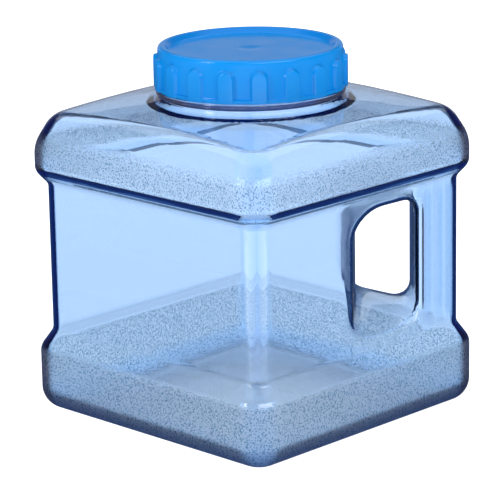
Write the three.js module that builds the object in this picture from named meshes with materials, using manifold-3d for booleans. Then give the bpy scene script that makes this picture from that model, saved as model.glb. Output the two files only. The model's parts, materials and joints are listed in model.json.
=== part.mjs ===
// Square water jug with a screw cap: a one-piece blown bottle with an open corner handle,
// a wide threaded neck, a ribbed cap and a flat sealing ring. Millimetres, +Z up, origin at
// the middle of the underside. The handle stands at the corner where +X and +Y meet.
import * as THREE from 'three';
import { mergeVertices } from 'three/addons/utils/BufferGeometryUtils.js';
import Module from 'manifold-3d';

const wasm = await Module();
wasm.setup();

// Bottle: half-widths of its square sections, heights of its bands, and radii.
const wall = 1.8;
const baseBandHalf = 102.5;
const waistHalf = 94;
const topBandHalf = 102;
const creaseHalf = 90.5;
const bandCorner = 18;
const creaseCorner = 13.7;
const baseEdgeRadius = 15;
const undersideCorner = 6;
const baseBandTop = 41.5;
const waistBottom = 53;
const waistTop = 148.5;
const topBandBottom = 157;
const topBandTop = 174.5;
const creaseHeight = 197;
const creaseDrop = 3.3;
const bandFillet = 5;
const creaseFillet = 6;
const smallestFillet = 0.5;

// Underside: the jug stands on a flat rim around a shallow square recess.
const recessHalf = 64;
const recessDepth = 2.5;
const recessCorner = 14;

// Neck, from its foot on the shoulder to its rim.
const neckFootHeight = 201.4;
const neckRadius = 58.2;
const beadRadius = 59.6;
const beadBottom = 204.9;
const beadTop = 208.6;
const beadBreak = 0.8;
const finishRadius = 54.3;
const rimHeight = 228.6;
const rimBreak = 0.5;

// Handle opening: a rounded window that runs level through the corner. Its section is given at
// the middle, on the corner's diagonal, and where it leaves the faces; both are measured out from
// the jug's axis along the diagonal, and the sections between fan round the corner's edge.
const windowMiddle = { inner: 64, outer: 99.5, bottom: 64.5, top: 138 };
const windowFace = { inner: 59, outer: 102.5, bottom: 59, top: 142 };
const windowRadii = { lowInner: 13, lowOuter: 13, highOuter: 9, highInner: 20 };
const windowReach = 1.2;

// The bottle is one moulding. It is cut level into four nodes, a hair's breadth apart, so that
// the collision of each stays simple; each node is given with the height of its top.
const bottleNodes = [
  ['jug_base', 47],
  ['jug_waist', 153],
  ['jug_shoulder', 204.4],
  ['jug_neck', rimHeight + wall],
];
const cutGap = 0.3;

// Thread: two starts, right-handed, the cap's ridges half a pitch from the neck's.
const threadLead = 12;
const threadStarts = 2;
const threadSweep = 1.5 * Math.PI;
const threadLow = 213;
const threadRootHalf = 1.5;
const threadCrestHalf = 0.9;
const neckThreadCrest = 56;
const capThreadCrest = 54.8;
const threadBite = 0.5;

// Cap.
const capBottom = 209.2;
const capTop = 235.5;
const capRimRadius = 58;
const capRimBreak = 1.6;
const capLandRadius = 53.3;
const capSkirtRadius = 58.8;
const capBandRadius = 60.5;
const capBandTop = 212;
const capBandBreak = 0.6;
const capBore = 56.5;
const capCeiling = 231;
const capDiscRadius = 51.3;
const capDiscHeight = 233;
const capDimpleRadius = 1.6;
const capDimpleDepth = 0.4;
const lockRibInner = 49.8;
const lockRibOuter = 51.4;
const lockRibBottom = 228.8;
const ribCount = 18;
const ribWidth = 10.4;
const ribTop = 228.9;
const ribRoot = 57.4;
const ribFace = 60.3;
const firstRibAngle = THREE.MathUtils.degToRad(-0.7);

// Sealing ring.
const ringInner = 51.9;
const ringOuter = 55.9;
const ringBottom = 228.9;
const ringTop = 230.7;

// Fineness of the facets.
const sideSteps = 3;
const cornerSteps = 6;
const filletSteps = 2;
const hollowFilletSteps = 1;
const roundSteps = 54;
const ribTopSteps = 4;
const windowSections = 8;
const threadSteps = 27;
const threadEaseSteps = 3;
const neckOutlineShare = 0.72;
const roofShares = [0.25, 0.5, 0.75];

/** Outline of a rounded square as [x, y] points, the same number whatever its size. */
function squareOutline(half, corner) {
  const centre = half - corner;
  const points = [];
  for (let side = 0; side < 4; side++) {
    const turn = (side * Math.PI) / 2;
    const place = (x, y) => points.push(new THREE.Vector2(x, y).rotateAround(new THREE.Vector2(), turn));
    for (let i = 0; i < sideSteps; i++) {
      place(half, centre * ((2 * i) / sideSteps - 1));
    }
    for (let i = 0; i < cornerSteps; i++) {
      const angle = (Math.PI / 2) * (i / cornerSteps);
      place(centre + corner * Math.cos(angle), centre + corner * Math.sin(angle));
    }
  }
  return points;
}

/** Circle with as many points as squareOutline, in matching directions. */
function circleOutline(radius) {
  return squareOutline(1, neckOutlineShare).map((point) => point.setLength(radius));
}

/** Level ring of 3-D points from an outline; its corners hang lower by drop. */
function ringAt(outline, height, half = 1, drop = 0) {
  const reach = Math.max(...outline.map((point) => point.length())) - half;
  return outline.map((point) => {
    const share = drop ? (point.length() - half) / reach : 0;
    return new THREE.Vector3(point.x, point.y, height - drop * share);
  });
}

/** Closed geometry through a stack of rings with equal point counts, flat at both ends. */
function loft(rings) {
  const count = rings[0].length;
  const middle = (ring) => ring.reduce((sum, point) => sum.add(point), new THREE.Vector3())
    .divideScalar(count);
  const points = [middle(rings[0]), ...rings.flat(), middle(rings.at(-1))];
  const last = points.length - 1;
  const triangles = [];
  for (let i = 0; i < count; i++) {
    const next = (i + 1) % count;
    triangles.push(0, 1 + next, 1 + i);
    for (let level = 0; level + 1 < rings.length; level++) {
      const low = 1 + level * count;
      const high = low + count;
      triangles.push(low + i, low + next, high + next, low + i, high + next, high + i);
    }
    triangles.push(last, last - count + i, last - count + next);
  }
  const geometry = new THREE.BufferGeometry().setFromPoints(points);
  geometry.setIndex(triangles);
  return geometry;
}

/** Solid from any closed geometry. */
function solidOf(geometry) {
  const bare = geometry.clone();
  bare.deleteAttribute('normal');
  bare.deleteAttribute('uv');
  const merged = mergeVertices(bare, 1e-4);
  const vertProperties = new Float32Array(merged.attributes.position.array);
  const index = merged.index.array;
  const triVerts = new Uint32Array(index.length);
  let used = 0;
  for (let i = 0; i < index.length; i += 3) {
    const [a, b, c] = index.slice(i, i + 3);
    if (a !== b && b !== c && c !== a) {
      triVerts.set([a, b, c], used);
      used += 3;
    }
  }
  return new wasm.Manifold(new wasm.Mesh({ numProp: 3, vertProperties, triVerts: triVerts.slice(0, used) }));
}

/** Geometry from a solid. */
function geometryOf(solid) {
  const mesh = solid.getMesh();
  const geometry = new THREE.BufferGeometry();
  geometry.setAttribute('position', new THREE.BufferAttribute(new Float32Array(mesh.vertProperties), 3));
  geometry.setIndex(new THREE.BufferAttribute(new Uint32Array(mesh.triVerts), 1));
  geometry.computeVertexNormals();
  return geometry;
}

/** Moves a chain of [half-width, height, fillet] corners inwards by inset, square to its edges. */
function insetChain(corners, inset) {
  const edges = corners.slice(1).map((corner, i) => {
    const along = new THREE.Vector2(corner[0] - corners[i][0], corner[1] - corners[i][1]).normalize();
    return { along, inward: new THREE.Vector2(-along.y, along.x) };
  });
  return corners.map(([half, height, fillet], i) => {
    const before = edges[Math.max(i - 1, 0)];
    const after = edges[Math.min(i, edges.length - 1)];
    const mitre = before.inward.clone().add(after.inward).normalize();
    const shift = inset / mitre.dot(after.inward);
    const turnsIn = before.along.cross(after.along) > 0;
    const radius = fillet === 0 ? 0 : Math.max(fillet + (turnsIn ? -inset : inset), smallestFillet);
    return [half + mitre.x * shift, height + mitre.y * shift, radius];
  });
}

/** Rounds a chain of [half-width, height, fillet] corners into points, each arc in so many steps. */
function roundChain(corners, steps) {
  return corners.flatMap(([half, height, radius], i) => {
    const here = new THREE.Vector2(half, height);
    if (radius === 0) {
      return [here];
    }
    const before = new THREE.Vector2(...corners[i - 1]).sub(here).normalize();
    const after = new THREE.Vector2(...corners[i + 1]).sub(here).normalize();
    const halfAngle = Math.acos(before.dot(after)) / 2;
    const middle = before.clone().add(after).normalize();
    const centre = here.clone().addScaledVector(middle, radius / Math.sin(halfAngle));
    const start = here.clone().addScaledVector(before, radius / Math.tan(halfAngle)).sub(centre);
    const end = here.clone().addScaledVector(after, radius / Math.tan(halfAngle)).sub(centre);
    const sweep = Math.atan2(start.cross(end), start.dot(end));
    return Array.from({ length: steps + 1 }, (_, step) => {
      const spoke = start.clone().rotateAround(new THREE.Vector2(), (sweep * step) / steps);
      return centre.clone().add(spoke);
    });
  });
}

/** Section of the bottle at a point of its side profile, from underside to shoulder. */
function bottleRing({ x: half, y: height }, inset) {
  if (height > topBandTop && half < creaseHalf - creaseFillet) {
    const share = THREE.MathUtils.clamp((creaseHalf - half) / (creaseHalf - neckRadius), 0, 1);
    const flat = (creaseHalf - creaseCorner) * (1 - share);
    return ringAt(squareOutline(half, half - flat), height, half, creaseDrop * (1 - share));
  }
  if (height > topBandTop) {
    const share = (height - topBandTop) / (creaseHeight - topBandTop);
    const corner = THREE.MathUtils.lerp(bandCorner, creaseCorner, share) - inset;
    return ringAt(squareOutline(half, corner), height, half, creaseDrop * share);
  }
  if (half < recessHalf + 2 * recessDepth) {
    return ringAt(squareOutline(half, recessCorner), height);
  }
  const corner = Math.max(bandCorner - (baseBandHalf - half), undersideCorner - inset);
  return ringAt(squareOutline(half, corner), height);
}

/** Solid bottle of the outer shape, or of the hollow when inset is the wall's thickness. */
function bottleSolid(inset) {
  const side = roundChain(insetChain([
    [recessHalf - recessDepth, recessDepth, 0],
    [recessHalf, recessDepth, 0],
    [recessHalf + recessDepth, 0, 0],
    [baseBandHalf, 0, baseEdgeRadius],
    [baseBandHalf, baseBandTop, bandFillet],
    [waistHalf, waistBottom, bandFillet],
    [waistHalf, waistTop, bandFillet],
    [topBandHalf, topBandBottom, bandFillet],
    [topBandHalf, topBandTop, 2 * bandFillet],
    [creaseHalf, creaseHeight, creaseFillet],
    [neckRadius, neckFootHeight, 0],
    [neckRadius, beadBottom, 0],
  ], inset), inset ? hollowFilletSteps : filletSteps);
  const [foot] = side.splice(-2);
  const roof = roofShares.map((share) => side.at(-1).clone().lerp(foot, share));
  const neck = [
    [neckRadius, neckFootHeight],
    [neckRadius, beadBottom],
    [beadRadius, beadBottom + beadBreak],
    [beadRadius, beadTop - beadBreak],
    [beadRadius - beadBreak, beadTop],
    [finishRadius, beadTop],
    [finishRadius, rimHeight - rimBreak],
    [finishRadius - rimBreak, rimHeight],
  ];
  const bore = [
    [neckRadius - inset, neckFootHeight - inset],
    [neckRadius - inset, beadBottom - inset],
    [finishRadius - inset, beadTop],
    [finishRadius - inset, rimHeight + 1],
  ];
  const round = (inset ? bore : neck).map(([radius, height]) => ringAt(circleOutline(radius), height));
  return solidOf(loft([...side, ...roof].map((point) => bottleRing(point, inset)).concat(round)));
}

/** Handle opening as a solid plug, grown all round by the given amount. */
function windowSolid(grow) {
  const cornerEdge = waistHalf * Math.SQRT2;
  const rings = Array.from({ length: windowSections + 1 }, (_, i) => {
    const fan = windowReach * ((2 * i) / windowSections - 1);
    return windowOutline(fan * fan, grow).map(([out, up]) => {
      const across = fan * (cornerEdge - out);
      return new THREE.Vector3((out + across) / Math.SQRT2, (out - across) / Math.SQRT2, up);
    });
  });
  return solidOf(loft(rings));
}

/** Rounded section of the handle opening as [distance from the jug's axis, height] points;
 *  flare is 0 at the middle and 1 at the faces. */
function windowOutline(flare, grow) {
  const side = (name) => THREE.MathUtils.lerp(windowMiddle[name], windowFace[name], flare);
  const { lowInner, lowOuter, highOuter, highInner } = windowRadii;
  const inner = side('inner') - grow;
  const outer = side('outer') + grow;
  const bottom = side('bottom') - grow;
  const top = side('top') + grow;
  const corners = [
    [inner, bottom, lowInner + grow, 1, 1, Math.PI],
    [outer, bottom, lowOuter + grow, -1, 1, 1.5 * Math.PI],
    [outer, top, highOuter + grow, -1, -1, 0],
    [inner, top, highInner + grow, 1, -1, 0.5 * Math.PI],
  ];
  return corners.flatMap(([out, up, radius, outSign, upSign, start]) =>
    Array.from({ length: cornerSteps }, (_, i) => {
      const angle = start + (Math.PI / 2) * (i / (cornerSteps - 1));
      return [
        out + radius * (outSign + Math.cos(angle)),
        up + radius * (upSign + Math.sin(angle)),
      ];
    }));
}

/** One start of a thread: a ridge from root radius to crest radius that climbs counter-clockwise. */
function threadSolid(root, crest, low, turn) {
  const rings = Array.from({ length: threadSteps + 1 }, (_, i) => {
    const angle = (threadSweep * i) / threadSteps;
    const height = low + (threadLead * angle) / (2 * Math.PI);
    const ease = Math.min(1, i / threadEaseSteps, (threadSteps - i) / threadEaseSteps);
    const tip = THREE.MathUtils.lerp(root, crest, ease);
    return [[root, -threadRootHalf], [tip, -threadCrestHalf], [tip, threadCrestHalf], [root, threadRootHalf]]
      .map(([radius, rise]) => new THREE.Vector3(
        radius * Math.cos(angle + turn), radius * Math.sin(angle + turn), height + rise));
  });
  return solidOf(loft(crest > root ? rings.reverse() : rings));
}

/** All the starts of a thread joined to a solid. */
function addThread(solid, root, crest, low, firstTurn) {
  return Array.from({ length: threadStarts }, (_, i) => firstTurn + (2 * Math.PI * i) / threadStarts)
    .reduce((sum, turn) => sum.add(threadSolid(root, crest, low, turn)), solid);
}

/** The bottle: outer shape less its hollow, with the handle opening walled all round. */
function makeBottle() {
  const outer = bottleSolid(0).subtract(windowSolid(0));
  const hollow = bottleSolid(wall).subtract(windowSolid(wall));
  return addThread(outer.subtract(hollow), finishRadius - threadBite, neckThreadCrest, threadLow, 0);
}

/** The bottle's slices as [name, solid] pairs, from the base up. */
function sliceBottle(bottle) {
  return bottleNodes.map(([name, top], i) => {
    const bottom = i === 0 ? -wall : bottleNodes[i - 1][1];
    const above = bottle.trimByPlane([0, 0, 1], bottom + cutGap / 2);
    return [name, above.trimByPlane([0, 0, -1], cutGap / 2 - top)];
  });
}

/** Turned solid about the jug's axis from a [radius, height] chain, which runs counter-clockwise
 *  and either starts and ends on the axis or closes on itself. */
function turned(chain) {
  const points = chain.map(([radius, height]) => new THREE.Vector2(radius, height));
  return solidOf(new THREE.LatheGeometry(points, roundSteps).rotateX(Math.PI / 2));
}

/** One grip rib of the cap: an upright with a round top, standing out from the skirt. */
function ribSolid(turn) {
  const shape = new THREE.Shape();
  const foot = (capBottom + capBandTop) / 2;
  shape.moveTo(-ribWidth / 2, foot);
  shape.lineTo(ribWidth / 2, foot);
  shape.absarc(0, ribTop - ribWidth / 2, ribWidth / 2, 0, Math.PI);
  const depth = ribFace - ribRoot;
  const rib = new THREE.ExtrudeGeometry(shape, { depth, bevelEnabled: false, curveSegments: ribTopSteps });
  rib.translate(0, 0, ribRoot).rotateX(Math.PI / 2).rotateZ(Math.PI / 2);
  return solidOf(rib.rotateZ(turn));
}

/** The cap: a turned shell with grip ribs outside and the thread inside. */
function makeCap() {
  const shell = turned([
    [0, capCeiling],
    [lockRibInner, capCeiling],
    [lockRibInner, lockRibBottom],
    [lockRibOuter, lockRibBottom],
    [lockRibOuter, capCeiling],
    [capBore, capCeiling],
    [capBore, capBottom],
    [capBandRadius - capBandBreak, capBottom],
    [capBandRadius, capBottom + capBandBreak],
    [capBandRadius, capBandTop],
    [capSkirtRadius, capBandTop + capBandBreak],
    [capRimRadius, capTop - capRimBreak],
    [capRimRadius - capRimBreak, capTop],
    [capLandRadius, capTop],
    [capDiscRadius, capDiscHeight],
    [capDimpleRadius, capDiscHeight],
    [0, capDiscHeight - capDimpleDepth],
  ]);
  const ribs = Array.from({ length: ribCount }, (_, i) =>
    ribSolid(firstRibAngle + (2 * Math.PI * i) / ribCount));
  const gripped = ribs.reduce((sum, rib) => sum.add(rib), shell);
  const halfPitch = threadLead / threadStarts / 2;
  return addThread(gripped, capBore + threadBite, capThreadCrest, threadLow + halfPitch, 0);
}

/** The sealing ring: flat, between the neck's rim and the cap's ceiling. */
function makeRing() {
  return turned([
    [ringInner, ringBottom],
    [ringOuter, ringBottom],
    [ringOuter, ringTop],
    [ringInner, ringTop],
    [ringInner, ringBottom],
  ]);
}

/** Named mesh from a solid and the look of its material. */
function namedMesh(name, solid, look) {
  const mesh = new THREE.Mesh(geometryOf(solid), new THREE.MeshStandardMaterial(look));
  mesh.name = name;
  return mesh;
}

const clearBlue = { color: 0x8fbdf0, roughness: 0.08, metalness: 0, transparent: true, opacity: 0.45 };

const jug = new THREE.Group();
sliceBottle(makeBottle()).forEach(([name, solid]) => jug.add(namedMesh(name, solid, clearBlue)));
jug.add(namedMesh('screw_cap', makeCap(), { color: 0x159bff, roughness: 0.35, metalness: 0 }));
jug.add(namedMesh('sealing_ring', makeRing(), { color: 0xdfe6ec, roughness: 0.6, metalness: 0 }));

export default jug;
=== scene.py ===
"""Large water jug: clear blue bottle with a corner handle, ribbed screw cap and sealing ring."""
import json
import math

import bpy
import numpy as np
from mathutils import Matrix, Vector


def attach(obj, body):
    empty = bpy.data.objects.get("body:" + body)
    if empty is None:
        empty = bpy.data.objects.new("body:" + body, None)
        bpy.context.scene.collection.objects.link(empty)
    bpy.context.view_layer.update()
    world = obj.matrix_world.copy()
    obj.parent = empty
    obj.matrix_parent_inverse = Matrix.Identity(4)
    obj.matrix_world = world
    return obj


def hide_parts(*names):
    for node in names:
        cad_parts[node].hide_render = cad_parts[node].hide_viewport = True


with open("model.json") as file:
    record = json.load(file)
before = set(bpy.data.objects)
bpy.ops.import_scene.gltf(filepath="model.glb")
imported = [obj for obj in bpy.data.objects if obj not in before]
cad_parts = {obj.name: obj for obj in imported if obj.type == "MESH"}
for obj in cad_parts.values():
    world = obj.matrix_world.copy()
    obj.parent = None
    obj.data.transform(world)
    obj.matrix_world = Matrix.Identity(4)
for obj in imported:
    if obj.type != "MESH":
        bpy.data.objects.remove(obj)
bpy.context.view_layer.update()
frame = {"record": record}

MM = 0.001

# Bottle, in millimetres, as in the CAD model.
WALL = 1.8
BASE_BAND_HALF = 102.5
WAIST_HALF = 94.0
TOP_BAND_HALF = 102.0
BAND_CORNER = 18.0
BASE_EDGE = 15.0
BASE_BAND_TOP = 41.5
WAIST_BOTTOM = 53.0
WAIST_TOP = 148.5
TOP_BAND_BOTTOM = 157.0
TOP_BAND_TOP = 174.5
BAND_BLEND = 3.0
WAIST_BLEND = 1.8
BEVEL_BLEND = 7.0
CREASE_HALF = 90.5
CREASE_CORNER = 13.7
CREASE_HEIGHT = 197.0
CREASE_DROP = 3.3
NECK_RADIUS = 58.2
NECK_FOOT_HEIGHT = 201.4
SHOULDER_ROUND = 6.0
NECK_FOOT_ROUND = 2.0

# Shallow dome of the underside, as high as the CAD model's square recess and without its hard edge.
DOME_HALF = 84.0
DOME_HEIGHT = 2.5

# Where the moulding leaves the wall thicker, or the bottom plate thinner, and over what distances.
CORNER_EXTRA = 1.4
CORNER_START = 74.0
CORNER_FADE = 8.0
BASE_EXTRA = 1.4
BASE_EXTRA_TOP = 16.0
BASE_EXTRA_FADE = 4.0
STEP_EXTRA = 1.0
STEP_REACH = 4.0
NECK_EXTRA = 2.2
NECK_EXTRA_RADIUS = 60.5
NECK_EXTRA_REACH = 4.0
NECK_EXTRA_FADE = 1.5
COLUMN_EXTRA = 0.9
COLUMN_INSIDE = 101.0
COLUMN_SIDE_FADE = 6.0
COLUMN_END_FADE = 8.0
COLUMN_STREAK = 11.0
STREAK_MEAN = 0.6
STREAK_SWING = 0.4
PLATE_THINNER = 0.9

# Handle opening, at the middle of its way through the corner and at the faces.
WINDOW_MIDDLE = {"inner": 64.0, "outer": 99.5, "bottom": 64.5, "top": 138.0}
WINDOW_FACE = {"inner": 59.0, "outer": 102.5, "bottom": 59.0, "top": 142.0}
WINDOW_RADII = {"low_inner": 13.0, "low_outer": 13.0, "high_outer": 9.0, "high_inner": 20.0}
WINDOW_EDGE = 4.5
FAN_DEPTH = 4.0
FAN_LIMIT = 1.3

# Neck above the shoulder: bead, threaded finish and rim.
SHELL_TOP = 204.4
BEAD_RADIUS = 59.6
BEAD_BOTTOM = 204.9
BEAD_TOP = 208.6
FINISH_RADIUS = 54.3
RIM_HEIGHT = 228.6
THREAD_LEAD = 12.0
THREAD_STARTS = 2
THREAD_SWEEP = 1.5 * math.pi
THREAD_LOW = 213.0
THREAD_ROOT_HALF = 1.5
THREAD_CREST_HALF = 0.9
THREAD_EASE = 0.35
NECK_THREAD_CREST = 56.0
BEAD_ROUND = 1.2
RIM_ROUND = 0.6

# Screw cap.
CAP_BOTTOM = 209.2
CAP_TOP = 235.5
CAP_RIM_RADIUS = 58.0
CAP_RIM_ROUND = 2.2
CAP_LAND_RADIUS = 53.3
CAP_SKIRT_RADIUS = 58.8
CAP_BAND_RADIUS = 60.3
CAP_BAND_TOP = 211.6
CAP_BAND_ROUND = 0.3
CAP_BREAK = 0.12
CAP_ROUND = 1.0
CAP_BORE = 56.5
CAP_THREAD_CREST = 54.8
CAP_CEILING = 231.0
CAP_DISC_RADIUS = 51.3
CAP_DISC_HEIGHT = 232.4
CAP_DIMPLE_RADIUS = 1.6
CAP_DIMPLE_DEPTH = 0.8
LOCK_RIB_INNER = 49.8
LOCK_RIB_OUTER = 51.4
LOCK_RIB_BOTTOM = 228.8
RIB_COUNT = 18
RIB_WIDTH = 9.8
RIB_TOP = 228.9
RIB_FACE = 60.9
RIB_EDGE = 0.7
FIRST_RIB = math.radians(-0.7)
CAP_COLUMNS_PER_RIB = 36

# Sealing ring.
RING_INNER = 51.9
RING_OUTER = 55.9
RING_BOTTOM = 228.9
RING_TOP = 230.7
RING_ROUND = 0.5
RING_COLUMNS = 180

# Heights over which the grain fades out at the bottom and the top of the bands.
GRAIN_FADE = 2.0
GRAIN_LOW_FADE = 3.0
GRAIN_HIGH_FADE = 8.0

# Haze of the bottom plate and of the neck's bead, against that of the bands, and the plate's reach.
PLATE_HALF = 88.0
PLATE_FROST = 1.0
BEAD_FROST = 1.4
FROST_START = 4.0
FROST_FADE = 20.0

# Bottle's mesh: its grid step in X and Y, and in Z the number of grid cells between heights.
GRID_STEP = 2.8
GRID_STOPS = [-2.5, 20, 38, 57, 144, 161, 172, 183, 199]
GRID_COUNTS = [12, 6, 15, 33, 13, 4, 6, 12, 7]
ROOF_START = 165.0
ROOF_HALVINGS = 22
SLOPE_REACH = 0.05

# Clear plastic: fineness in cells for each metre, bump depth in metres, absorption for each metre.
CLEAR_IOR = 1.58
GRAIN_FINENESS = 1100
GRAIN_DEPTH = 0.0004
GRAIN_ROUGHNESS = 0.30
WAVE_FINENESS = 22
HAZE = 0.06
# Painted shade in the grain's pits: its colour, and the noise levels over which the base colour darkens
# where the grain is low.
PIT_PAINTED_SHADE = (0.09, 0.22, 0.29, 1)
PIT_SHADE_START = 0.46
PIT_SHADE_FULL = 0.395
ABSORPTION_COLOUR = (0.16, 0.52, 0.86, 1)
ABSORPTION_DENSITY = 270

# Cap and ring plastics.
CAP_TINTS = ((0.0, 0.31, 0.92, 1), (0.001, 0.35, 0.96, 1))
CAP_ROUGHNESS = (0.17, 0.25)
CAP_MARK_DEPTH = 0.000006
CAP_SPECULAR = 0.4
SEAL_TINTS = ((0.70, 0.76, 0.82, 1), (0.80, 0.85, 0.90, 1))
SEAL_ROUGHNESS = (0.42, 0.6)
SEAL_MARK_DEPTH = 0.00005
SEAL_SUBSURFACE = 0.3
SEAL_SCATTER = (0.003, 0.003, 0.003)

# Floor and card, in millimetres, with the colours that they show in reflections.
FLOOR_RADIUS = 4000.0
FLOOR_DROP = 0.3
CARD_REACH = (220.0, 1500.0, 480.0)
MIRRORED_FLOOR = (0.05, 0.09, 0.2, 1)
MIRRORED_CARD = (1.7, 1.7, 1.8, 1)
FLOOR_GREY = (0.5, 0.5, 0.5, 1)
FLOOR_ROUGHNESS = 0.9
FLOOR_GLOW = 1.2
FLOOR_SIDES = 64
WHITE = (1, 1, 1, 1)

# Lights: place and size in metres, power in watts. Then the dim grey-blue room round them.
LIGHTS = {
    "overhead": ((-0.2, 0.2, 2.2), (4.0, 4.0), 40),
    "front": ((1.7, -0.5, 1.3), (2.0, 0.4), 15),
    "back": ((-1.3, 1.3, 0.38), (2.4, 0.55), 1.5),
    "left": ((-0.3, -1.7, 0.8), (0.3, 1.0), 8),
}
ROOM_COLOUR = (0.55, 0.62, 0.85, 1)
ROOM_STRENGTH = 0.15

# Camera, in metres, degrees and millimetres of lens.
TARGET = Vector((0, 0, 0.1025))
VIEW_TURN = 44.391
VIEW_LIFT = 15.198
VIEW_ROLL = 0.986
VIEW_DISTANCE = 1.768
VIEW_LENS = 200.2
VIEW_SHIFT = (-0.0074, -0.0024)


def soft_ramp(t, blend):
    """max(t, 0) with its corner rounded over a length of blend on each side."""
    inside = np.clip((t + blend) / (2 * blend), 0, 1)
    return np.where(t > blend, t, blend * inside * inside)


def round_and(a, b, radius):
    """Where both distances are inside, with the edge between them rounded to radius."""
    corner = np.hypot(np.maximum(a + radius, 0), np.maximum(b + radius, 0))
    return np.minimum(np.maximum(a, b), -radius) + corner


def square_distance(x, y, half, corner):
    """Signed distance from a rounded square outline."""
    qx = np.abs(x) - half + corner
    qy = np.abs(y) - half + corner
    outside = np.hypot(np.maximum(qx, 0), np.maximum(qy, 0))
    return outside + np.minimum(np.maximum(qx, qy), 0) - corner


def side_distance(x, y, z):
    """Distance from the bottle's bands, waist and bevel."""
    low = soft_ramp(z - BASE_BAND_TOP, BAND_BLEND) - soft_ramp(z - WAIST_BOTTOM, WAIST_BLEND)
    high = soft_ramp(z - WAIST_TOP, WAIST_BLEND) - soft_ramp(z - TOP_BAND_BOTTOM, BAND_BLEND)
    bevel = soft_ramp(z - TOP_BAND_TOP, BEVEL_BLEND)
    step_in = (BASE_BAND_HALF - WAIST_HALF) * low / (WAIST_BOTTOM - BASE_BAND_TOP)
    step_out = (TOP_BAND_HALF - WAIST_HALF) * high / (TOP_BAND_BOTTOM - WAIST_TOP)
    rise = CREASE_HEIGHT - TOP_BAND_TOP
    half = BASE_BAND_HALF - step_in + step_out
    corner = BAND_CORNER - step_in + step_out - (BAND_CORNER - CREASE_CORNER) * bevel / rise
    return square_distance(x, y, half - (TOP_BAND_HALF - CREASE_HALF) * bevel / rise, corner)


def roof_height(x, y):
    """Height of the shoulder, a ruled surface from the square crease up to the round neck."""
    low = np.full(x.shape, -0.6)
    high = np.full(x.shape, 1.0)
    for _ in range(ROOF_HALVINGS):
        share = (low + high) / 2
        half = CREASE_HALF - share * (CREASE_HALF - NECK_RADIUS)
        flat = (CREASE_HALF - CREASE_CORNER) * (1 - share)
        outside = square_distance(x, y, half, half - flat) > 0
        high = np.where(outside, share, high)
        low = np.where(outside, low, share)
    share = (low + high) / 2
    half = CREASE_HALF - share * (CREASE_HALF - NECK_RADIUS)
    flat = (CREASE_HALF - CREASE_CORNER) * (1 - share)
    reach = np.maximum(flat * math.sqrt(2) + half - flat - half, 1e-6)
    sag = CREASE_DROP * (1 - share) * np.clip((np.hypot(x, y) - half) / reach, 0, 1.2)
    return CREASE_HEIGHT + share * (NECK_FOOT_HEIGHT - CREASE_HEIGHT) - sag


def window_distance(x, y, z):
    """Signed distance from the handle opening, whose sections fan round the corner's edge."""
    out = (x + y) / math.sqrt(2)
    across = (x - y) / math.sqrt(2)
    edge = WAIST_HALF * math.sqrt(2)
    fan = np.clip(across / np.maximum(edge - out, FAN_DEPTH), -FAN_LIMIT, FAN_LIMIT)
    flare = fan * fan
    side = {k: WINDOW_MIDDLE[k] + flare * (WINDOW_FACE[k] - WINDOW_MIDDLE[k]) for k in WINDOW_FACE}
    p = out - (side["inner"] + side["outer"]) / 2
    q = z - (side["bottom"] + side["top"]) / 2
    low = np.where(p > 0, WINDOW_RADII["low_outer"], WINDOW_RADII["low_inner"])
    high = np.where(p > 0, WINDOW_RADII["high_outer"], WINDOW_RADII["high_inner"])
    radius = np.where(q > 0, high, low)
    a = np.abs(p) - (side["outer"] - side["inner"]) / 2 + radius
    b = np.abs(q) - (side["top"] - side["bottom"]) / 2 + radius
    return np.hypot(np.maximum(a, 0), np.maximum(b, 0)) + np.minimum(np.maximum(a, b), 0) - radius


def dome_share(x, y):
    """Height of the shallow dome under the bottle, from 0 at its edge to 1 in the middle."""
    return np.clip(1 - (x / DOME_HALF) ** 2, 0, 1) * np.clip(1 - (y / DOME_HALF) ** 2, 0, 1)


def bottle_distance(points):
    """Roughly the signed distance from the bottle's outer surface, below its neck."""
    x, y, z = points.T
    shell = round_and(side_distance(x, y, z), -z, BASE_EDGE)
    shell = np.where(z < BASE_EDGE, np.maximum(shell, DOME_HEIGHT * dome_share(x, y) - z), shell)
    above = z > ROOF_START
    roof = z[above] - roof_height(x[above], y[above])
    body = round_and(shell[above], 0.99 * roof, SHOULDER_ROUND)
    neck = np.hypot(x[above], y[above]) - NECK_RADIUS
    shell[above] = -round_and(-body, -neck, NECK_FOOT_ROUND)
    return round_and(shell, -window_distance(x, y, z), WINDOW_EDGE)


def projected(points, rounds):
    """Moves points onto the bottle's surface. Returns them with the outward normals there."""
    for _ in range(rounds):
        value = bottle_distance(points)
        slope = np.stack([
            bottle_distance(points + step) - bottle_distance(points - step)
            for step in np.eye(3) * SLOPE_REACH
        ], 1) / (2 * SLOPE_REACH)
        size = np.maximum((slope ** 2).sum(1), 0.05)
        points = points - np.clip(value / size, -2, 2)[:, None] * slope
    return points, slope / np.sqrt(size)[:, None]


def grid_axes():
    """Grid lines in X, Y and Z, closer together in Z at the steps, the shoulder and the neck's foot."""
    side = BASE_BAND_HALF + 1.4 * GRID_STEP
    level = np.linspace(-side, side, 2 * round(side / GRID_STEP))
    stops = [*GRID_STOPS, SHELL_TOP + 0.4]
    spans = zip(stops, stops[1:], GRID_COUNTS)
    heights = [np.linspace(low, high, count, endpoint=False) for low, high, count in spans]
    return level, level, np.concatenate([*heights, stops[-1:]])


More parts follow.
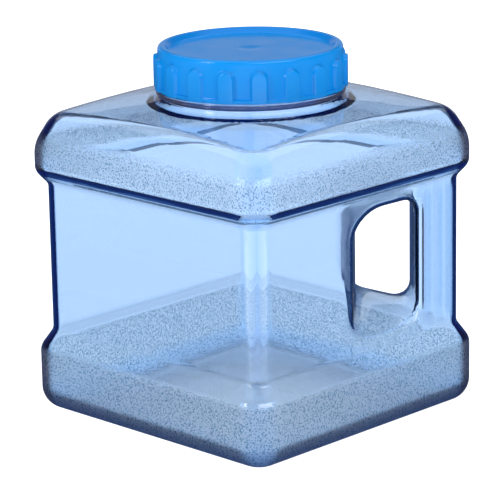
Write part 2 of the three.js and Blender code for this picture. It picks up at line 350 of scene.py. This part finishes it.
def surface_net(axes):
    """Start of a quad mesh of the bottle's surface: one point in each grid cell that it crosses."""
    grid = np.stack(np.meshgrid(*axes, indexing="ij"), -1)
    shape = np.array(grid.shape[:3])
    inside = bottle_distance(grid.reshape(-1, 3)).reshape(shape) < 0
    corners = np.zeros(shape - 1, int)
    for cut in np.ndindex(2, 2, 2):
        window = tuple(slice(c, c + n - 1) for c, n in zip(cut, shape))
        corners += inside[window]
    mixed = (corners > 0) & (corners < 8)
    index = np.full(shape - 1, -1)
    index[mixed] = np.arange(mixed.sum())
    cells = np.argwhere(mixed)
    points = np.stack([(axis[c] + axis[c + 1]) / 2 for axis, c in zip(axes, cells.T)], 1)
    return points, net_faces(inside, index), cells[:, 2] == shape[2] - 2


def net_faces(inside, index):
    """One quad round each grid edge whose ends lie on different sides of the surface."""
    faces = []
    for axis in range(3):
        first = np.moveaxis(inside, axis, 0)
        cells = np.moveaxis(index, axis, 0)
        if axis == 1:
            first, cells = first.transpose(0, 2, 1), cells.transpose(0, 2, 1)
        crossing = first[:-1] != first[1:]
        i, j, k = np.nonzero(crossing[:, 1:-1, 1:-1])
        quad = np.stack([cells[i, j, k], cells[i, j + 1, k], cells[i, j + 1, k + 1], cells[i, j, k + 1]], 1)
        leaving = first[:-1][:, 1:-1, 1:-1][i, j, k]
        faces.append(np.where(leaving[:, None], quad, quad[:, ::-1]))
    return np.concatenate(faces)


def evened(points, faces, fixed, rounds):
    """Spreads the points evenly over the surface, keeping the fixed ones."""
    pairs = np.concatenate([faces[:, [a, (a + 1) % 4]] for a in range(4)])
    pairs = np.concatenate([pairs, pairs[:, ::-1]])
    count = np.bincount(pairs[:, 0], minlength=len(points))
    for _ in range(rounds):
        total = [np.bincount(pairs[:, 0], points[pairs[:, 1], axis], len(points)) for axis in range(3)]
        middle = np.stack(total, 1) / count[:, None]
        moved, _ = projected((points + middle) / 2, 1)
        points = np.where(fixed[:, None], points, moved)
    return points


def shell_surface():
    """Outer surface of the bottle below its neck: points, outward normals, quads, and the top loop."""
    points, faces, top = surface_net(grid_axes())
    points, _ = projected(points, 4)
    angle = np.arctan2(points[:, 1], points[:, 0])
    ring = ring_points([(NECK_RADIUS, SHELL_TOP)], angle)[0]
    points = np.where(top[:, None], ring, points)
    points = evened(points, faces, top, 5)
    points, normals = projected(points, 2)
    points = np.where(top[:, None], ring, points)
    loop = np.nonzero(top)[0]
    return points, normals, faces, loop[np.argsort(angle[loop])]


def arc_rows(centre, radius, start, end, steps):
    """Profile points [radius, height] along an arc, its angles in degrees from outwards."""
    angles = np.radians(np.linspace(start, end, steps + 1))
    return [(centre[0] + radius * math.cos(a), centre[1] + radius * math.sin(a)) for a in angles]


def straight_rows(start, end, steps):
    """Profile points [radius, height] along a straight stretch, without its ends."""
    shares = np.linspace(0, 1, steps + 1)[1:-1]
    return [tuple((1 - s) * a + s * b for a, b in zip(start, end)) for s in shares]


def ring_points(profile, angles):
    """Turns a profile into points, one row of the given angles for each profile point."""
    radius, height = np.array(profile).T
    shape = (len(profile), len(angles))
    x = radius[:, None] * np.cos(angles)
    y = radius[:, None] * np.sin(angles)
    return np.stack([x, y, np.broadcast_to(height[:, None], shape)], -1)


def moved_out(rings, radius):
    """Same rings with each point at its own new radius."""
    flat = np.hypot(rings[..., 0], rings[..., 1])
    factor = radius / np.maximum(flat, 1e-9)
    return np.concatenate([rings[..., :2] * factor[..., None], rings[..., 2:]], -1)


def strip_faces(rows):
    """Quads between rows of point numbers that each go once round."""
    quads = []
    for low, high in zip(rows[:-1], rows[1:]):
        quads.append(np.stack([low, np.roll(low, -1), np.roll(high, -1), high], 1))
    return np.concatenate(quads)


def thread_height(rings, low):
    """How far each point stands up a two-start thread's ridge, from 0 at its root to 1 at its crest."""
    angle = np.arctan2(rings[..., 1], rings[..., 0])
    share = np.zeros(angle.shape)
    for start in range(THREAD_STARTS):
        climbed = (angle - 2 * math.pi * start / THREAD_STARTS) % (2 * math.pi)
        middle = low + THREAD_LEAD * climbed / (2 * math.pi)
        flank = THREAD_ROOT_HALF - np.abs(rings[..., 2] - middle)
        ridge = np.clip(flank / (THREAD_ROOT_HALF - THREAD_CREST_HALF), 0, 1)
        ease = np.clip(np.minimum(climbed, THREAD_SWEEP - climbed) / THREAD_EASE, 0, 1)
        share = np.maximum(share, ridge * ease)
    return share


def neck_rings(angles):
    """Neck above the shell: bead, threaded finish, rim and bore, as rows of points."""
    inner = FINISH_RADIUS - WALL
    outside = [
        (NECK_RADIUS, BEAD_BOTTOM),
        *arc_rows((BEAD_RADIUS - BEAD_ROUND, BEAD_BOTTOM + BEAD_ROUND), BEAD_ROUND, -80, 0, 3),
        *arc_rows((BEAD_RADIUS - BEAD_ROUND, BEAD_TOP - BEAD_ROUND), BEAD_ROUND, 0, 90, 4),
        (FINISH_RADIUS + BEAD_ROUND, BEAD_TOP),
        (FINISH_RADIUS + 0.2 * BEAD_ROUND, BEAD_TOP + 0.2 * BEAD_ROUND),
    ]
    finish = straight_rows((FINISH_RADIUS, BEAD_TOP), (FINISH_RADIUS, RIM_HEIGHT - RIM_ROUND), 42)
    rim = [
        *arc_rows((FINISH_RADIUS - RIM_ROUND, RIM_HEIGHT - RIM_ROUND), RIM_ROUND, 0, 90, 3),
        *arc_rows((inner + RIM_ROUND, RIM_HEIGHT - RIM_ROUND), RIM_ROUND, 90, 180, 3),
    ]
    bore = straight_rows((inner, RIM_HEIGHT - RIM_ROUND), (inner, BEAD_TOP), 4)
    slant = [(inner, BEAD_TOP), ((inner + NECK_RADIUS - WALL) / 2, (BEAD_TOP + SHELL_TOP) / 2)]
    threaded = ring_points(finish, angles)
    ridge = thread_height(threaded, THREAD_LOW)
    threaded = moved_out(threaded, FINISH_RADIUS + ridge * (NECK_THREAD_CREST - FINISH_RADIUS))
    plain = [ring_points(profile, angles) for profile in (outside, rim + bore + slant)]
    return np.concatenate([plain[0], threaded, plain[1]])


def band_grain(points):
    """How much pebbled grain the bottle's outside shows: full on the two wide bands, none underneath."""
    height = points[:, 2]
    outside = np.clip((np.abs(points[:, :2]).max(1) - BASE_BAND_HALF + BASE_EDGE) / GRAIN_FADE, 0, 1)
    base = np.clip((BASE_BAND_TOP + 1 - height) / GRAIN_FADE, 0, 1) * np.clip(height / GRAIN_FADE, 0, 1)
    lower_edge = np.clip((height - TOP_BAND_BOTTOM - GRAIN_FADE) / GRAIN_LOW_FADE, 0, 1)
    upper_edge = np.clip((TOP_BAND_TOP + GRAIN_HIGH_FADE - height) / GRAIN_HIGH_FADE, 0, 1)
    return np.maximum(base * outside, lower_edge * upper_edge)


def new_object(name, points, faces, smooth=True):
    """Mesh object from points in millimetres and faces."""
    mesh = bpy.data.meshes.new(name)
    mesh.from_pydata((points * MM).tolist(), [], [face.tolist() for face in faces])
    mesh.update()
    if smooth:
        mesh.shade_smooth()
    obj = bpy.data.objects.new(name, mesh)
    bpy.context.collection.objects.link(obj)
    return obj


def haze_share(points, grain):
    """How hazy the plastic is against the bands: hazy on grain, on the bottom plate and on the bead."""
    height = points[:, 2]
    plate = (height < DOME_HEIGHT + 1.2 * WALL) & (np.abs(points[:, :2]).max(1) < PLATE_HALF)
    bead = (height > BEAD_BOTTOM - 0.1) & (height < BEAD_TOP + 0.1)
    bands = grain * np.clip((height - FROST_START) / FROST_FADE, 0, 1)
    return np.where(bead, BEAD_FROST, np.where(plate, PLATE_FROST, bands))


def extra_thickness(points, normals):
    """How much thicker the wall is than elsewhere: more at edges and on the handle, less at the bottom."""
    height = points[:, 2]
    near_edge = np.clip((np.abs(points[:, :2]).min(1) - CORNER_START) / CORNER_FADE, 0, 1)
    corner = near_edge * np.abs(2 * normals[:, 0] * normals[:, 1])
    turned = 2 * np.abs(normals[:, 2]) * np.hypot(normals[:, 0], normals[:, 1])
    outside = np.abs(points[:, :2]).max(1) > BASE_BAND_HALF - BASE_EDGE
    base = np.where(outside, turned, 0) * np.clip((BASE_EXTRA_TOP - height) / BASE_EXTRA_FADE, 0, 1)
    under = (normals[:, 2] < 0) & (np.abs(height - TOP_BAND_BOTTOM) < STEP_REACH)
    step = np.where(under, turned, 0)
    radius = np.hypot(points[:, 0], points[:, 1])
    neck = np.clip(1 - np.abs(radius - NECK_EXTRA_RADIUS) / NECK_EXTRA_REACH, 0, 1)
    neck *= np.clip((SHELL_TOP - height) / NECK_EXTRA_FADE, 0, 1) * (height > CREASE_HEIGHT)
    out = (points[:, 0] + points[:, 1]) / math.sqrt(2)
    column = np.clip((out - COLUMN_INSIDE) / COLUMN_SIDE_FADE, 0, 1)
    column *= np.clip((height - WAIST_BOTTOM) / COLUMN_END_FADE, 0, 1)
    column *= np.clip((WAIST_TOP - height) / COLUMN_END_FADE, 0, 1)
    turns = np.abs(points[:, 0] - points[:, 1]) / COLUMN_STREAK
    streaks = STREAK_MEAN + STREAK_SWING * np.cos(2 * math.pi * turns)
    extra = CORNER_EXTRA * corner + BASE_EXTRA * base + STEP_EXTRA * step + NECK_EXTRA * neck
    plate = dome_share(points[:, 0], points[:, 1]) * (height < DOME_HEIGHT + 1)
    return extra + COLUMN_EXTRA * column * streaks * (1 - corner) - PLATE_THINNER * plate


def make_bottle():
    """The bottle as one closed mesh: shell, hollow and neck."""
    outer, normals, quads, loop = shell_surface()
    inner = outer - (WALL + extra_thickness(outer, normals))[:, None] * normals
    around = np.arctan2(outer[loop, 1], outer[loop, 0])
    inner[loop] = ring_points([(NECK_RADIUS - WALL, SHELL_TOP)], around)[0]
    neck = neck_rings(around)
    first = 2 * len(outer)
    rows = first + np.arange(neck.shape[0] * len(loop)).reshape(neck.shape[0], -1)
    neck_faces = strip_faces([loop, *rows, loop + len(outer)])
    points = np.concatenate([outer, inner, neck.reshape(-1, 3)])
    faces = np.concatenate([quads, quads[:, ::-1] + len(outer), neck_faces])
    bottle = new_object("jug", points, faces)
    grain = np.zeros(len(points))
    grain[:len(outer)] = band_grain(outer)
    for name, values in (("grain", grain), ("frost", haze_share(points, grain))):
        bottle.data.attributes.new(name, "FLOAT", "POINT").data.foreach_set("value", values)
    return bottle


def rib_height(rings):
    """How far each point of the cap's skirt stands out on a grip rib, from 0 to 1."""
    angle = np.arctan2(rings[..., 1], rings[..., 0]) - FIRST_RIB
    pitch = 2 * math.pi / RIB_COUNT
    across = ((angle + pitch / 2) % pitch - pitch / 2) * CAP_SKIRT_RADIUS
    half = RIB_WIDTH / 2
    above = np.maximum(rings[..., 2] - (RIB_TOP - half), 0)
    distance = np.hypot(across, above) - half
    ramp = np.clip(0.5 - distance / RIB_EDGE, 0, 1)
    return ramp * ramp * (3 - 2 * ramp)


def cap_rings(angles):
    """The cap as rows of points, from the middle of its top round to the middle of its ceiling."""
    disc_edge = CAP_DISC_RADIUS - CAP_ROUND
    top = [
        *straight_rows((CAP_DIMPLE_RADIUS, CAP_DISC_HEIGHT), (disc_edge, CAP_DISC_HEIGHT), 12),
        *arc_rows((disc_edge, CAP_DISC_HEIGHT + CAP_ROUND), CAP_ROUND, -90, -20, 4),
        *arc_rows((CAP_LAND_RADIUS + CAP_ROUND / 2, CAP_TOP - CAP_ROUND / 2), CAP_ROUND / 2, 160, 90, 4),
        *arc_rows((CAP_RIM_RADIUS - CAP_RIM_ROUND, CAP_TOP - CAP_RIM_ROUND), CAP_RIM_ROUND, 90, 4, 7),
    ]
    skirt_top = CAP_TOP - CAP_RIM_ROUND
    edge = CAP_BAND_RADIUS - CAP_BAND_ROUND
    skirt = [
        *straight_rows((CAP_RIM_RADIUS, skirt_top), (CAP_SKIRT_RADIUS, CAP_BAND_TOP), 32),
        (CAP_SKIRT_RADIUS, CAP_BAND_TOP + CAP_BREAK),
        (CAP_SKIRT_RADIUS + CAP_BREAK, CAP_BAND_TOP),
        *arc_rows((edge, CAP_BAND_TOP - CAP_BAND_ROUND), CAP_BAND_ROUND, 90, 0, 3),
        *arc_rows((edge, CAP_BOTTOM + CAP_BAND_ROUND), CAP_BAND_ROUND, 0, -45, 2),
    ]
    foot = [
        (edge, CAP_BOTTOM),
        (CAP_BORE + CAP_ROUND / 3, CAP_BOTTOM),
        (CAP_BORE, CAP_BOTTOM + CAP_ROUND / 3),
    ]
    bore = straight_rows((CAP_BORE, CAP_BOTTOM + CAP_ROUND / 3), (CAP_BORE, CAP_CEILING), 40)
    ceiling = [
        (CAP_BORE, CAP_CEILING),
        (LOCK_RIB_OUTER, CAP_CEILING),
        (LOCK_RIB_OUTER, LOCK_RIB_BOTTOM),
        (LOCK_RIB_INNER, LOCK_RIB_BOTTOM),
        (LOCK_RIB_INNER, CAP_CEILING),
        (LOCK_RIB_INNER / 2, CAP_CEILING),
    ]
    gripped = ring_points(skirt, angles)
    radius = np.hypot(gripped[..., 0], gripped[..., 1])
    gripped = moved_out(gripped, radius + rib_height(gripped) * (RIB_FACE - radius))
    threaded = ring_points(bore, angles)
    ridge = thread_height(threaded, THREAD_LOW + THREAD_LEAD / THREAD_STARTS / 2)
    threaded = moved_out(threaded, CAP_BORE + ridge * (CAP_THREAD_CREST - CAP_BORE))
    plain = [ring_points(profile, angles) for profile in (top, foot, ceiling)]
    return np.concatenate([plain[0], gripped, plain[1], threaded, plain[2]])


def make_cap():
    """The screw cap as one closed mesh."""
    count = RIB_COUNT * CAP_COLUMNS_PER_RIB
    angles = 2 * math.pi * np.arange(count) / count
    rings = cap_rings(angles)
    rows = np.arange(len(rings) * count).reshape(len(rings), count)
    dimple, ceiling = rows.size, rows.size + 1
    middle = [[0, 0, CAP_DISC_HEIGHT - CAP_DIMPLE_DEPTH], [0, 0, CAP_CEILING]]
    points = np.concatenate([rings.reshape(-1, 3), middle])
    faces = [*strip_faces(rows)[:, ::-1]]
    for i in range(count):
        j = (i + 1) % count
        faces.append(np.array([dimple, rows[0, i], rows[0, j]]))
        faces.append(np.array([ceiling, rows[-1, j], rows[-1, i]]))
    return new_object("cap", points, faces)


def make_ring():
    """The sealing ring as one closed mesh."""
    angles = 2 * math.pi * np.arange(RING_COLUMNS) / RING_COLUMNS
    corners = [
        (RING_OUTER - RING_ROUND, RING_BOTTOM + RING_ROUND, -90),
        (RING_OUTER - RING_ROUND, RING_TOP - RING_ROUND, 0),
        (RING_INNER + RING_ROUND, RING_TOP - RING_ROUND, 90),
        (RING_INNER + RING_ROUND, RING_BOTTOM + RING_ROUND, 180),
    ]
    profile = [
        point
        for radius, height, start in corners
        for point in arc_rows((radius, height), RING_ROUND, start, start + 90, 3)
    ]
    rings = ring_points(profile, angles)
    rows = np.arange(len(profile) * RING_COLUMNS).reshape(len(profile), RING_COLUMNS)
    return new_object("seal", rings.reshape(-1, 3), strip_faces([*rows, rows[0]]))


def node_material(name):
    """New node material, with its node tree and its Principled shader."""
    material = bpy.data.materials.new(name)
    material.use_nodes = True
    tree = material.node_tree
    return material, tree, tree.nodes["Principled BSDF"]


def noise(tree, scale, detail, roughness=0.5):
    """Noise over the object's own coordinates, its scale in cells for each metre."""
    place = tree.nodes.new("ShaderNodeTexCoord")
    texture = tree.nodes.new("ShaderNodeTexNoise")
    texture.inputs["Scale"].default_value = scale
    texture.inputs["Detail"].default_value = detail
    texture.inputs["Roughness"].default_value = roughness
    tree.links.new(place.outputs["Object"], texture.inputs["Vector"])
    return texture.outputs["Fac"]


def mapped(tree, value, low, high, new_low, new_high):
    """A value moved from one range to another."""
    node = tree.nodes.new("ShaderNodeMapRange")
    for name, number in {"From Min": low, "From Max": high, "To Min": new_low, "To Max": new_high}.items():
        node.inputs[name].default_value = number
    tree.links.new(value, node.inputs["Value"])
    return node.outputs["Result"]


def attribute(tree, name):
    """Value of one of the mesh's own attributes."""
    node = tree.nodes.new("ShaderNodeAttribute")
    node.attribute_name = name
    return node.outputs["Fac"]


def maths(tree, operation, first, second):
    """Result of a Math node on two sockets, or on a socket and a number."""
    node = tree.nodes.new("ShaderNodeMath")
    node.operation = operation
    for socket, value in zip(node.inputs, (first, second)):
        if isinstance(value, (int, float)):
            socket.default_value = value
        else:
            tree.links.new(value, socket)
    return node.outputs["Value"]


def add_bump(tree, shader, height, distance, strength=1.0):
    """Bump on a shader from a height socket, its distance in metres."""
    bump = tree.nodes.new("ShaderNodeBump")
    bump.inputs["Distance"].default_value = distance
    bump.inputs["Strength"].default_value = strength
    tree.links.new(height, bump.inputs["Height"])
    tree.links.new(bump.outputs["Normal"], shader.inputs["Normal"])


def mixed_tint(tree, shader, share, tints):
    """Base colour that goes from the first tint to the second as the share goes from 0 to 1."""
    mix = tree.nodes.new("ShaderNodeMix")
    mix.data_type = "RGBA"
    mix.inputs["A"].default_value, mix.inputs["B"].default_value = tints
    tree.links.new(share, mix.inputs["Factor"])
    tree.links.new(mix.outputs["Result"], shader.inputs["Base Color"])


def clear_plastic():
    """Clear blue polycarbonate, pebbled where the mesh says so and faintly uneven elsewhere, with painted
    shade darkening the base colour in the grain's low pits.
    """
    material, tree, shader = node_material("clear_blue_plastic")
    shader.inputs["IOR"].default_value = CLEAR_IOR
    mask = attribute(tree, "grain")
    frost = attribute(tree, "frost")
    grains = noise(tree, GRAIN_FINENESS, 1)
    pebbles = maths(tree, "MULTIPLY", grains, mask)
    waves = noise(tree, WAVE_FINENESS, 1)
    add_bump(tree, shader, maths(tree, "ADD", pebbles, waves), GRAIN_DEPTH)
    tree.links.new(maths(tree, "MULTIPLY", mask, GRAIN_ROUGHNESS), shader.inputs["Roughness"])
    clear = maths(tree, "SUBTRACT", 1.0, maths(tree, "MULTIPLY", frost, HAZE))
    tree.links.new(clear, shader.inputs["Transmission Weight"])
    # Painted shade: the grain's low pits get a darker base colour, standing in for the shade that falls in
    # them.
    painted_pit_shade = maths(tree, "MULTIPLY", mapped(tree, grains, PIT_SHADE_START, PIT_SHADE_FULL, 0, 1), mask)
    mixed_tint(tree, shader, painted_pit_shade, (WHITE, PIT_PAINTED_SHADE))
    volume = tree.nodes.new("ShaderNodeVolumeAbsorption")
    volume.inputs["Color"].default_value = ABSORPTION_COLOUR
    volume.inputs["Density"].default_value = ABSORPTION_DENSITY
    tree.links.new(volume.outputs["Volume"], tree.nodes["Material Output"].inputs["Volume"])
    return material


def cap_plastic():
    """Opaque azure plastic: satin, with a faint uneven sheen and fine handling marks."""
    material, tree, shader = node_material("blue_cap_plastic")
    mixed_tint(tree, shader, noise(tree, 30, 3), CAP_TINTS)
    tree.links.new(mapped(tree, noise(tree, 60, 2), 0.35, 0.7, *CAP_ROUGHNESS), shader.inputs["Roughness"])
    add_bump(tree, shader, noise(tree, 700, 2), CAP_MARK_DEPTH)
    shader.inputs["Specular IOR Level"].default_value = CAP_SPECULAR
    return material


def seal_rubber():
    """Translucent white silicone."""
    material, tree, shader = node_material("seal_rubber")
    mixed_tint(tree, shader, noise(tree, 90, 2), SEAL_TINTS)
    tree.links.new(mapped(tree, noise(tree, 300, 3), 0.3, 0.7, *SEAL_ROUGHNESS), shader.inputs["Roughness"])
    add_bump(tree, shader, noise(tree, 900, 2), SEAL_MARK_DEPTH)
    shader.inputs["Subsurface Weight"].default_value = SEAL_SUBSURFACE
    shader.inputs["Subsurface Radius"].default_value = SEAL_SCATTER
    return material


def floor_finish(name, mirrored):
    """Matte pale floor that glows like a lit backdrop, and shows the mirrored colour in reflections."""
    material, tree, shader = node_material(name)
    shader.inputs["Base Color"].default_value = FLOOR_GREY
    shader.inputs["Roughness"].default_value = FLOOR_ROUGHNESS
    shader.inputs["Emission Color"].default_value = WHITE
    shader.inputs["Emission Strength"].default_value = FLOOR_GLOW
    reflected = tree.nodes.new("ShaderNodeEmission")
    reflected.inputs["Color"].default_value = mirrored
    path = tree.nodes.new("ShaderNodeLightPath")
    mix = tree.nodes.new("ShaderNodeMixShader")
    bounced = maths(tree, "GREATER_THAN", path.outputs["Glossy Depth"], 0.5)
    tree.links.new(bounced, mix.inputs["Fac"])
    tree.links.new(shader.outputs["BSDF"], mix.inputs[1])
    tree.links.new(reflected.outputs["Emission"], mix.inputs[2])
    tree.links.new(mix.outputs["Shader"], tree.nodes["Material Output"].inputs["Surface"])
    return material


def make_floor():
    """Plain round floor, far wider than the view, with a bright card let into it before the near corner."""
    angles = 2 * math.pi * np.arange(FLOOR_SIDES) / FLOOR_SIDES
    edge = ring_points([(FLOOR_RADIUS, -FLOOR_DROP)], angles)[0]
    along = np.array([1, -1, 0]) / math.sqrt(2)
    across = np.array([1, 1, 0]) / math.sqrt(2)
    near, far, half = CARD_REACH
    card = [near * along - half * across, far * along - half * across,
            far * along + half * across, near * along + half * across]
    card = np.array(card) - [0, 0, FLOOR_DROP / 2]
    for name, outline, mirrored in (("floor", edge, MIRRORED_FLOOR), ("card", card, MIRRORED_CARD)):
        piece = new_object(name, outline, [np.arange(len(outline))], smooth=False)
        piece.data.materials.append(floor_finish(f"pale_{name}", mirrored))


def add_light(name, place, size, power):
    """Rectangular soft white light, aimed at the middle of the jug."""
    data = bpy.data.lights.new(name, "AREA")
    data.shape = "RECTANGLE"
    data.size, data.size_y = size
    data.energy = power
    light = bpy.data.objects.new(name, data)
    light.location = place
    light.rotation_euler = (TARGET - Vector(place)).to_track_quat("-Z", "Y").to_euler()
    bpy.context.collection.objects.link(light)


def light_studio():
    """Overhead softbox, a wide one before and behind, a strip at the left and the dim room."""
    for name, (place, size, power) in LIGHTS.items():
        add_light(name, place, size, power)
    world = bpy.data.worlds.new("studio")
    world.use_nodes = True
    shader = world.node_tree.nodes["Background"]
    shader.inputs["Color"].default_value = ROOM_COLOUR
    shader.inputs["Strength"].default_value = ROOM_STRENGTH
    bpy.context.scene.world = world


def add_camera():
    """Camera at the viewing angle of a product shot, from a little above the near corner."""
    turn, lift, roll = (math.radians(a) for a in (VIEW_TURN, VIEW_LIFT, VIEW_ROLL))
    back = Vector((math.sin(turn) * math.cos(lift), -math.cos(turn) * math.cos(lift), math.sin(lift)))
    right = Vector((math.cos(turn), math.sin(turn), 0))
    up = back.cross(right)
    side = math.cos(roll) * right - math.sin(roll) * up
    top = math.sin(roll) * right + math.cos(roll) * up
    data = bpy.data.cameras.new("camera")
    data.lens = VIEW_LENS
    data.sensor_width = 36
    data.shift_x, data.shift_y = VIEW_SHIFT
    camera = bpy.data.objects.new("camera", data)
    camera.matrix_world = Matrix((side, top, back)).transposed().to_4x4()
    camera.location = TARGET + VIEW_DISTANCE * back
    bpy.context.collection.objects.link(camera)
    bpy.context.scene.camera = camera


def set_render_paths():
    """Enough bounces for walls seen through walls."""
    scene = bpy.context.scene
    scene.view_settings.view_transform = "Standard"
    scene.cycles.max_bounces = 32
    scene.cycles.transmission_bounces = 28
    scene.cycles.glossy_bounces = 10
    scene.cycles.diffuse_bounces = 4
    scene.cycles.caustics_refractive = True
    scene.cycles.caustics_reflective = True
    scene.cycles.blur_glossy = 0.6
    scene.cycles.use_denoising = True


def place_piece(obj, material, body):
    """Gives a piece its material and says which body it rides on, standing for all of its nodes."""
    obj.data.materials.append(material)
    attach(obj, body)
    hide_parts(*frame["record"]["behaviour"]["bodies"][body])


place_piece(make_bottle(), clear_plastic(), "jug")
place_piece(make_cap(), cap_plastic(), "cap")
place_piece(make_ring(), seal_rubber(), "seal")
make_floor()
light_studio()
add_camera()
set_render_paths()
